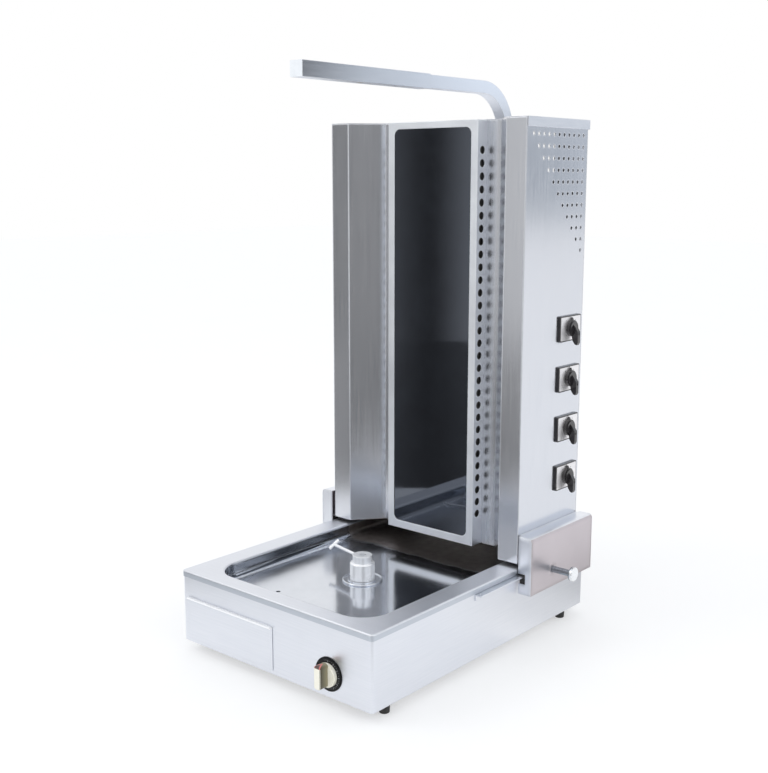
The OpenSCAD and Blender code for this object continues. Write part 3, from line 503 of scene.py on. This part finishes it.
def fibre():
    """Insulation board, grey from heat and soot."""
    s = Shader("fibre_board")
    fluff = s.noise(260.0, detail=6.0, rough=0.75)
    s.colour(s.blend(s.spread(fluff, 0.0, 1.0), (0.10, 0.097, 0.092), (0.17, 0.165, 0.155)))
    s.rough(s.spread(fluff, 0.8, 0.95))
    s.bump(fluff, 0.6, 0.001)
    return s.mat


def painted(name, light, dark, rough):
    """Sprayed or cast skin with fine orange peel and dirt."""
    s = Shader(name)
    peel = s.noise(380.0, detail=2.0)
    dirt = s.noise(30.0, detail=5.0, rough=0.7)
    s.colour(s.blend(s.spread(dirt, 0.0, 1.0), dark, light))
    s.rough(s.spread(dirt, rough - 0.08, rough + 0.1))
    s.bump(peel, 0.2, 0.0003)
    return s.mat


def knob_pointer(s, low, high):
    """Where the knob's pointer is, and where its core is. It narrows from the grip's front to its tip."""
    away = s.math("ABSOLUTE", s.math("SUBTRACT", s.along("X"), (low.x + high.x) / 2))
    half = s.spread(s.along("Y"), POINTER_HALF, 0.0, low.y, low.y + POINTER_LENGTH)
    top = s.math("GREATER_THAN", s.along("Z"), high.z - POINTER_DROP)
    pointer = s.math("MULTIPLY", s.math("LESS_THAN", away, half), top)
    core_half = s.math("SUBTRACT", half, POINTER_LINE)
    core = s.math("MULTIPLY", s.math("LESS_THAN", away, core_half), top)
    return pointer, core


def cream_knob():
    """Cream moulding whose grip flanks carry painted shade; a dark pointer outlined in red tops the grip.
    """
    s = Shader("knob_cream")
    low, high = corner("control_knob")
    skirt_front = corner("control_dial")[0].y - KNOB_SKIRT
    y = s.along("Y")
    flank = s.math("LESS_THAN", s.facing("Y"), ACROSS)
    grip_side = s.math("MULTIPLY", flank, s.math("LESS_THAN", y, skirt_front))
    wear = s.noise(90.0, detail=5.0, rough=0.7)
    cream = s.blend(s.spread(wear, 0.0, 1.0), (0.86, 0.83, 0.70), (0.93, 0.91, 0.81))
    # painted shade on the grip's flanks: near black at the grip's front, greenish brown towards the skirt
    depth = s.spread(y, 0.0, 1.0, low.y, skirt_front)
    flank_shade = s.blend(depth, (0.045, 0.040, 0.022), (0.30, 0.27, 0.17))
    body = s.blend(grip_side, cream, flank_shade)
    pointer, core = knob_pointer(s, low, high)
    s.colour(s.blend(core, s.blend(pointer, body, (0.66, 0.20, 0.18)), (0.10, 0.06, 0.055)))
    s.rough(s.spread(wear, 0.28, 0.42))
    s.bump(s.noise(800.0), 0.08, 0.0002, edge=SHEET_EDGE)
    return s.mat


# trim built here

def mesh_object(name, bm, material):
    """Turns bm into an object of the scene."""
    mesh = bpy.data.meshes.new(name)
    bm.to_mesh(mesh)
    bm.free()
    mesh.materials.append(material)
    obj = bpy.data.objects.new(name, mesh)
    bpy.context.scene.collection.objects.link(obj)
    return obj


def mesh_piece(name, bm, material, body):
    """Turns bm into a piece that moves with body."""
    obj = mesh_object(name, bm, material)
    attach(obj, body)


def add_mark(bm, spot, ray, out, size):
    """Adds a thin bevelled mark to bm. It lies along ray, faces out, and size is its length and width."""
    length, width = size
    made = bmesh.ops.create_cube(bm, size=1.0)
    turn = Matrix((ray, out.cross(ray), out)).transposed().to_4x4()
    scale = Matrix.Diagonal((length, width, MARK_THICK, 1.0))
    bmesh.ops.transform(bm, matrix=Matrix.Translation(spot) @ turn @ scale, verts=made["verts"])
    edges = list({e for v in made["verts"] for e in v.link_edges})
    bmesh.ops.bevel(bm, geom=edges, offset=MARK_THICK * MARK_BEVEL, segments=1, affect="EDGES")


def dial_marks(material):
    """Ticks round the front dial, each third one longer."""
    low, high = corner("control_dial")
    centre = (low + high) / 2
    centre.y = low.y
    ring = (high.x - low.x) / 2 - DIAL_BORDER
    out = Vector((0.0, -1.0, 0.0))
    bm = bmesh.new()
    for step in range(-TICKS_BEFORE_TOP, TICKS_AFTER_TOP + 1):
        angle = math.radians(TOP - step * TICK_TURN)
        ray = Vector((math.cos(angle), 0.0, math.sin(angle)))
        tick = LONG_TICK if step % LONG_EVERY == 0 else SHORT_TICK
        spot = centre + ray * (ring - tick[0] / 2) - out * TICK_SUNK
        add_mark(bm, spot, ray, out, tick)
    mesh_piece("dial_marks", bm, material, "base")


def switch_marks(number, material):
    """Position marks on one switch plate."""
    low, high = corner("switch_plate_%d" % number)
    centre = (low + high) / 2
    centre.x = high.x
    out = Vector((1.0, 0.0, 0.0))
    bm = bmesh.new()
    for degrees in SWITCH_ANGLES:
        angle = math.radians(TOP + degrees)
        ray = Vector((0.0, math.cos(angle), math.sin(angle)))
        add_mark(bm, centre + ray * SWITCH_RING + out * SWITCH_MARK_OFF, ray, out, SWITCH_MARK)
    mesh_piece("switch_marks_%d" % number, bm, material, "heater")


# which piece gets which material

def dress(material, *names):
    """Gives a material to CAD nodes."""
    for name in names:
        for slot in NODES[name].material_slots:
            slot.material = material


def dress_sheets():
    """Folded stainless sheets and tubes."""
    light = (0.80, 0.82, 0.87)
    dark = (0.75, 0.775, 0.83)
    level = sheet_metal("steel_level_brush", light, dark, rough=0.33, grain=(12.0, 12.0, 420.0))
    dress(level, "base_shell", "rail_left", "rail_right", "post_mount", "top_cap")
    dress(drawer_steel(light, dark), "grease_drawer")
    dress(pan_steel(light, dark), "top_pan")
    dress(housing_steel((0.74, 0.755, 0.80), (0.68, 0.70, 0.75)), "heater_shell", "rear_cover")
    dress(tube_steel((0.84, 0.865, 0.92), (0.78, 0.805, 0.86)), "arm_post", "arm_sleeve")
    # the bracket's outer faces get a painted pinkish reflection, darker than its folds
    bracket = bracket_steel((0.66, 0.61, 0.64), (0.84, 0.865, 0.92))
    dress(bracket, "side_bracket_left", "side_bracket_right")
    dress(frame_steel((0.90, 0.93, 0.97), (0.84, 0.87, 0.92)), "glass_frame")


def dress_turned():
    """Turned and plated metal."""
    turned = polished_metal("steel_turned", (0.97, 0.98, 1.00), (0.90, 0.92, 0.95), 0.22,
                            wave=0.02, metal=0.50)
    ring = polished_metal("steel_ring", (0.74, 0.77, 0.83), (0.62, 0.65, 0.70), 0.16, wave=0.02)
    brass = polished_metal("bush_brass", (0.78, 0.60, 0.28), (0.60, 0.44, 0.20), 0.26)
    zinc = sheet_metal("zinc_plate", (0.66, 0.66, 0.64), (0.50, 0.50, 0.49), rough=0.40,
                       grain=(60.0, 60.0, 60.0))
    dress(turned, "spindle_hub", "clamp_screw")
    dress(ring, "spindle_collar")
    dress(brass, "spit_bush")
    dress(clamp_steel(), "clamp_knob_left", "clamp_knob_right")
    dress(zinc, "bottom_plate", "bottom_screws", "foot_screws", "drawer_guides")
    dress(zinc, "motor_shaft", "motor_bracket", "post_bolts", "cover_screws")


def dress_machinery():
    """Drive, regulator, feet, glides, the glass and what is behind it."""
    soot = painted("floor_soot", (0.075, 0.070, 0.070), (0.040, 0.038, 0.039), 0.6)
    cast = painted("housing_cast", (0.34, 0.35, 0.37), (0.24, 0.25, 0.26), 0.55)
    paint = painted("motor_paint", (0.12, 0.125, 0.13), (0.07, 0.072, 0.076), 0.4)
    nylon = plastic("nylon_black", (0.020, 0.020, 0.021), (0.010, 0.010, 0.011), 0.5)
    unit = plastic("unit_beige", (0.70, 0.68, 0.60), (0.58, 0.56, 0.49), 0.5)
    oxide = sheet_metal("element_oxide", (0.34, 0.27, 0.23), (0.16, 0.13, 0.12), rough=0.5,
                        grain=(90.0, 90.0, 90.0))
    board = fibre()
    dress(black_glass(), "glass_panel")
    dress(soot, "heater_floor")
    dress(cast, "bearing_housing")
    dress(paint, "gear_motor")
    dress(nylon, "glides_left", "glides_right")
    dress(unit, "control_unit")
    dress(rubber(), "rubber_feet")
    for number in range(1, ZONES + 1):
        dress(board, "element_tray_%d" % number)
        dress(oxide, "heating_coil_%d" % number)


def dress_controls():
    """Dial, knob, switches with their marks, and the other mouldings in sight."""
    face = sheet_metal("plate_satin", (0.93, 0.92, 0.93), (0.84, 0.83, 0.85), rough=0.40,
                       grain=(20.0, 20.0, 500.0))
    matt = plastic("end_plate_white", (0.84, 0.87, 0.90), (0.78, 0.81, 0.84), 0.45)
    black = plastic("plastic_black", (0.024, 0.021, 0.024), (0.012, 0.011, 0.013), 0.30, coat=0.6)
    dial = plastic("dial_black", (0.012, 0.012, 0.013), (0.007, 0.007, 0.008), 0.5, shine=0.15)
    marks = plastic("mark_grey", (0.42, 0.42, 0.44), (0.30, 0.30, 0.32), 0.5)
    ink = plastic("mark_black", (0.03, 0.03, 0.03), (0.02, 0.02, 0.02), 0.5)
    dress(matt, "arm_end_plate")
    dress(black, "cable_gland")
    dress(dial, "control_dial")
    dress(cream_knob(), "control_knob")
    for number in range(1, ZONES + 1):
        dress(black, "switch_body_%d" % number, "switch_handle_%d" % number)
        dress(face, "switch_plate_%d" % number)
        switch_marks(number, ink)
    dial_marks(marks)


# studio

def add_floor():
    """Pale floor that glows a little, so that it shows white and keeps the shadow."""
    s = Shader("floor_pale", Roughness=0.9, Specular_IOR_Level=0.1,
               Emission_Color=(1.0, 1.0, 1.0, 1.0), Emission_Strength=0.40)
    grain = s.noise(3.0)
    s.colour(s.blend(s.spread(grain, 0.0, 1.0), (0.60, 0.60, 0.60), (0.61, 0.61, 0.61)))
    bm = bmesh.new()
    bmesh.ops.create_grid(bm, x_segments=1, y_segments=1, size=FLOOR_HALF)
    mesh_object("floor", bm, s.mat)


def background(tree, colour):
    """World colour at strength 1."""
    node = tree.nodes.new("ShaderNodeBackground")
    node.inputs["Color"].default_value = (*colour, 1.0)
    node.inputs["Strength"].default_value = 1.0
    return node.outputs["Background"]


def add_world():
    """Even light. The camera, reflections and transmission see plain white instead of it."""
    world = bpy.data.worlds.new("studio")
    bpy.context.scene.world = world
    world.use_nodes = True
    tree = world.node_tree
    tree.nodes.clear()
    path = tree.nodes.new("ShaderNodeLightPath")
    white = path.outputs["Is Camera Ray"]
    for ray in ("Is Glossy Ray", "Is Transmission Ray"):
        either = tree.nodes.new("ShaderNodeMath")
        either.operation = "MAXIMUM"
        tree.links.new(white, either.inputs[0])
        tree.links.new(path.outputs[ray], either.inputs[1])
        white = either.outputs["Value"]
    mix = tree.nodes.new("ShaderNodeMixShader")
    out = tree.nodes.new("ShaderNodeOutputWorld")
    tree.links.new(white, mix.inputs["Fac"])
    tree.links.new(background(tree, (0.95, 0.97, 1.0)), mix.inputs[1])
    tree.links.new(background(tree, (1.0, 1.0, 1.0)), mix.inputs[2])
    tree.links.new(mix.outputs["Shader"], out.inputs["Surface"])


def add_lamp(name, place, target, size, power, tint=(1.0, 1.0, 1.0)):
    """Soft square lamp at place that looks at target."""
    data = bpy.data.lights.new(name, "AREA")
    data.shape = "SQUARE"
    data.size = size
    data.energy = power
    data.color = tint
    lamp = bpy.data.objects.new(name, data)
    bpy.context.scene.collection.objects.link(lamp)
    lamp.location = place
    aim = Vector(target) - Vector(place)
    lamp.rotation_euler = aim.to_track_quat("-Z", "Y").to_euler()


def card_material(name, across, values, tint):
    """Glow graded over the card's own X: values are evenly spaced from its left to its right edge."""
    mat = bpy.data.materials.new(name)
    mat.use_nodes = True
    tree = mat.node_tree
    tree.nodes.clear()
    out = tree.nodes.new("ShaderNodeOutputMaterial")
    glow = tree.nodes.new("ShaderNodeEmission")
    coords = tree.nodes.new("ShaderNodeTexCoord")
    parts = tree.nodes.new("ShaderNodeSeparateXYZ")
    span = tree.nodes.new("ShaderNodeMapRange")
    span.inputs["From Min"].default_value = -across / 2
    span.inputs["From Max"].default_value = across / 2
    ramp = tree.nodes.new("ShaderNodeValToRGB")
    ramp.color_ramp.interpolation = "EASE"
    last = len(values) - 1
    for number in range(1, last):
        ramp.color_ramp.elements.new(number / last)
    for element, value in zip(ramp.color_ramp.elements, values):
        element.color = (*(value * t for t in tint), 1.0)
    tree.links.new(coords.outputs["Object"], parts.inputs["Vector"])
    tree.links.new(parts.outputs["X"], span.inputs["Value"])
    tree.links.new(span.outputs["Result"], ramp.inputs["Fac"])
    tree.links.new(ramp.outputs["Color"], glow.inputs["Color"])
    tree.links.new(glow.outputs["Emission"], out.inputs["Surface"])
    return mat


def add_card(name, place, turn, size, values, tint):
    """Grey studio card that only reflections see. turn is its rotation in degrees about X, Y, Z."""
    # a square of side 1, scaled to size
    bm = bmesh.new()
    bmesh.ops.create_grid(bm, x_segments=1, y_segments=1, size=0.5)
    bmesh.ops.scale(bm, vec=(size[0], size[1], 1.0), verts=bm.verts)
    card = mesh_object(name, bm, card_material(name, size[0], values, tint))
    card.location = place
    card.rotation_euler = tuple(math.radians(t) for t in turn)
    card.visible_camera = False
    card.visible_diffuse = False
    card.visible_shadow = False
    card.visible_transmission = False


def add_screen(name, foot, bearing, width, floor_values, wall_values):
    """Two cards in one bearing from foot: one along the floor and one upright at its far end.

    bearing is in degrees from the front (-Y) towards the left (-X). It also sets how far the floor
    card is lifted, so that no two of them lie in one plane.
    """
    angle = math.radians(bearing)
    out = Vector((-math.sin(angle), -math.cos(angle), 0.0))
    middle = Vector(foot) + out * (SCREEN_START + SCREEN_END) / 2
    middle.z = FLOOR_CARD_LIFT * (1.0 + abs(bearing) / 90.0)
    add_card(name + "_floor", place=middle, turn=(0.0, 0.0, -bearing),
             size=(width, SCREEN_END - SCREEN_START), values=floor_values, tint=PLAIN)
    end = Vector(foot) + out * SCREEN_END
    end.z = SCREEN_HEIGHT / 2
    add_card(name + "_wall", place=end, turn=(90.0, 0.0, -bearing),
             size=(width, SCREEN_HEIGHT), values=wall_values, tint=PLAIN)


def add_screens():
    """Screens that the front, the back and the right side look at."""
    foot = (0.0, corner("glass_frame")[0].y, 0.0)
    # what the wings, the frame and the glass look at
    add_screen("screen_left", foot, bearing=38.5, width=2.4,
               floor_values=(1.0, 0.40, 0.32, 0.34, 0.08, 0.24, 0.35, 0.8, 1.0),
               wall_values=(1.0, 0.25, 0.08, 0.40, 0.10, 0.75, 0.55, 0.8, 1.0))
    # what the left facet and the recessed panel look at
    add_screen("screen_right", foot, bearing=-50.0, width=3.0,
               floor_values=(1.0, 0.26, 0.22, 0.22, 0.26, 0.9),
               wall_values=(1.0, 0.30, 0.28, 0.28, 0.30, 0.9))
    # what the back and the right side look at when they are seen straight on
    plain = (1.0, 0.80, 0.62, 0.56, 0.62, 0.80, 1.0)
    for bearing in (180.0, -90.0):
        add_screen("screen_%d" % abs(bearing), (0.0, 0.0, 0.0), bearing=bearing, width=1.1,
                   floor_values=plain, wall_values=plain)


def add_side_cards():
    """Single cards for what the photograph's right side mirrors."""
    # on the floor at the right, where the far end of the base's side looks
    add_card("card_base", place=(0.37, 0.50, FLOOR_CARD_LIFT), turn=(0.0, 0.0, 90.0), size=(0.8, 0.22),
             values=(1.0, 0.82, 0.58, 0.50, 0.50), tint=PLAIN)
    # far behind on the right, where the arm's side looks
    add_card("card_arm", place=(2.68, 3.06, 1.7), turn=(90.0, 0.0, -39.0), size=(2.4, 0.8),
             values=(1.0, 1.0, 0.66, 0.02, 0.02), tint=COOL)
    # below it, where the top of the heater's side looks
    add_card("card_side", place=(2.36, 3.58, 0.98), turn=(90.0, 0.0, -32.0), size=(1.8, 0.6),
             values=(1.0, 0.88, 0.60, 0.44, 0.44, 0.9), tint=COOL)


def light_studio():
    add_floor()
    add_world()
    add_lamp("key", place=(-1.8, -2.2, 2.8), target=(0.0, 0.0, 0.5), size=1.8, power=16.0)
    add_lamp("fill", place=(2.6, -0.6, 2.2), target=(0.0, 0.0, 0.4), size=1.6, power=8.0,
             tint=(0.94, 0.97, 1.0))
    add_screens()
    add_side_cards()


bpy.context.scene.view_settings.view_transform = "Standard"
add_camera()
dress_sheets()
dress_turned()
dress_machinery()
dress_controls()
light_studio()
